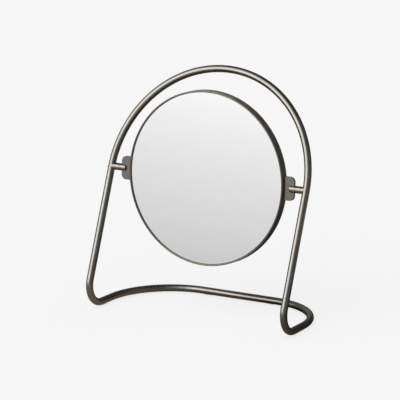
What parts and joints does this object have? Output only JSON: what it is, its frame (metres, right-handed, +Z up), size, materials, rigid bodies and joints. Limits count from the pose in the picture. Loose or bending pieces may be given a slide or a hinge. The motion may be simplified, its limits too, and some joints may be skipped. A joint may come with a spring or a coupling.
{
  "type": "table mirror",
  "caption": "Round table mirror that turns on slotted pins between the legs of a leaning arch of bent tube, on a flat tube base.",
  "frame": {"origin": "on the table, in the middle of the frame seen from above", "axes": "+Z up; the glass faces -Y; +X runs along the pivot axis, to the right of someone who faces the glass"},
  "size_m": [0.3154, 0.1555, 0.3363],
  "materials": {
    "frame_bronze": "bronzed and brushed along the tube, satin",
    "pivot_bronze": "bronzed and turned, satin",
    "ear_bronze": "bronzed plate, satin",
    "rim_bronze": "bronzed and brushed round the rim, satin",
    "back_cover": "fine powder coat",
    "mirror_glass": "silvered float glass",
    "board": "plain fibreboard",
    "foam": "foam sheet, sticky on both faces",
    "washer": "nylon",
    "screw_steel": "blackened steel",
    "sleeve_steel": "plain steel tube",
    "foot_pad": "soft clear silicone, slightly milky"
  },
  "bodies": {
    "frame": {"upper_frame_tube": "frame_bronze", "base_tube": "frame_bronze", "joint_sleeve_left": "sleeve_steel", "joint_sleeve_right": "sleeve_steel", "foot_pad_front_left": "foot_pad", "foot_pad_front_right": "foot_pad", "foot_pad_rear_left": "foot_pad", "foot_pad_rear_right": "foot_pad", "pivot_stub_left": "pivot_bronze", "pivot_stub_right": "pivot_bronze", "friction_washer_left": "washer", "friction_washer_right": "washer", "set_screws": "screw_steel"},
    "mirror_head": {"hinge_fork_left": "pivot_bronze", "hinge_fork_right": "pivot_bronze", "ear_plate_left": "ear_bronze", "ear_plate_right": "ear_bronze", "mirror_rim": "rim_bronze", "back_plate": "back_cover", "backing_board": "board", "glass_pad": "foam", "mirror_glass": "mirror_glass", "ear_screws": "screw_steel", "board_screws": "screw_steel"}
  },
  "joints": [
    {"name": "mirror_tilt", "type": "hinge", "parent": "frame", "child": "mirror_head", "pos_m": [0, -0.01111, 0.19084], "axis": [1, 0, 0], "continuous": true}
  ]
}
